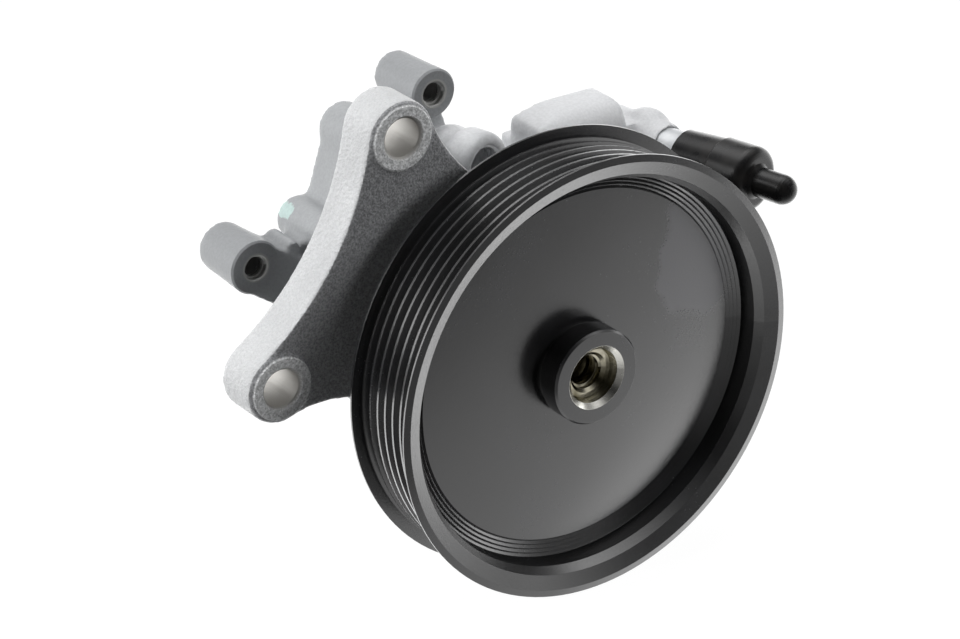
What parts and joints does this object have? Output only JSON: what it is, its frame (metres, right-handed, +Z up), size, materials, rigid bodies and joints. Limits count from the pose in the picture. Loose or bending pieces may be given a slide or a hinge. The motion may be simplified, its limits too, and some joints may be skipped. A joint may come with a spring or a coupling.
{
  "type": "power steering pump",
  "caption": "Belt-driven vane pump with a black multi-rib pulley, a cast bracket with bolt ears, a lobed aluminium housing, a threaded pressure port and a capped inlet tube.",
  "frame": {"origin": "on the shaft axis in the middle plane of the belt ribs, inside the threaded hole of the shaft end", "axes": "+Y along the shaft from the pulley to the housing, +Z up, +X to the right seen from the pulley"},
  "size_m": [0.1712, 0.106, 0.1457],
  "materials": {
    "pulley_black": "satin black coating over turned steel",
    "shaft_steel": "ground steel with an oily golden tint",
    "ring_steel": "ground and hardened steel",
    "cage_brass": "stamped brass",
    "blasted_aluminium": "blasted die casting",
    "cast_aluminium": "die casting as cast, machined on its faces",
    "sintered_steel": "sintered steel with lapped faces",
    "spring_steel": "phosphated spring steel",
    "zinc_steel": "zinc plated steel",
    "tube_steel": "drawn steel tube",
    "bush_bronze": "sintered bronze",
    "seal_rubber": "moulded nitrile rubber",
    "cap_rubber": "semi-gloss moulded black rubber"
  },
  "bodies": {
    "housing": {"bearing_outer_ring": "ring_steel", "bearing_circlip": "spring_steel", "shaft_seal": "seal_rubber", "seal_spring": "spring_steel", "front_bracket": "blasted_aluminium", "pump_housing": "cast_aluminium", "housing_oring": "seal_rubber", "housing_screws": "zinc_steel", "front_plate": "sintered_steel", "cam_ring": "sintered_steel", "pressure_plate": "sintered_steel", "plate_oring": "seal_rubber", "dowel_pins": "ring_steel", "plate_spring": "spring_steel", "rear_bush": "bush_bronze", "valve_plug": "zinc_steel", "plug_oring": "seal_rubber", "spool_spring": "spring_steel", "inlet_tube": "tube_steel", "tube_seal_ring": "seal_rubber"},
    "shaft": {"pulley": "pulley_black", "drive_shaft": "shaft_steel", "rotor": "sintered_steel", "vanes": "ring_steel", "rotor_snap_ring": "spring_steel", "bearing_inner_ring": "ring_steel"},
    "bearing_set": {"bearing_balls": "ring_steel", "bearing_cage": "cage_brass"},
    "spool": {"control_spool": "ring_steel"},
    "cap": {"transport_cap": "cap_rubber"}
  },
  "joints": [
    {"name": "shaft_spin", "type": "hinge", "parent": "housing", "child": "shaft", "pos_m": [0, 0, 0], "axis": [0, 1, 0], "continuous": true},
    {"name": "bearing_roll", "type": "hinge", "parent": "housing", "child": "bearing_set", "pos_m": [0, 0, 0], "axis": [0, 1, 0], "continuous": true},
    {"name": "spool_slide", "type": "slide", "parent": "housing", "child": "spool", "axis": [-1, 0, 0], "range_m": [0, 0.008], "stiffness_N_per_m": 5000, "springref_m": -0.004, "deforming": ["spool_spring"]},
    {"name": "cap_pull", "type": "slide", "parent": "housing", "child": "cap", "axis": [0.2284, -0.9736, 0], "range_m": [0, 0.045]}
  ],
  "couplings": [
    {"joint": "bearing_roll", "follows": "shaft_spin", "ratio": 0.38246}
  ]
}
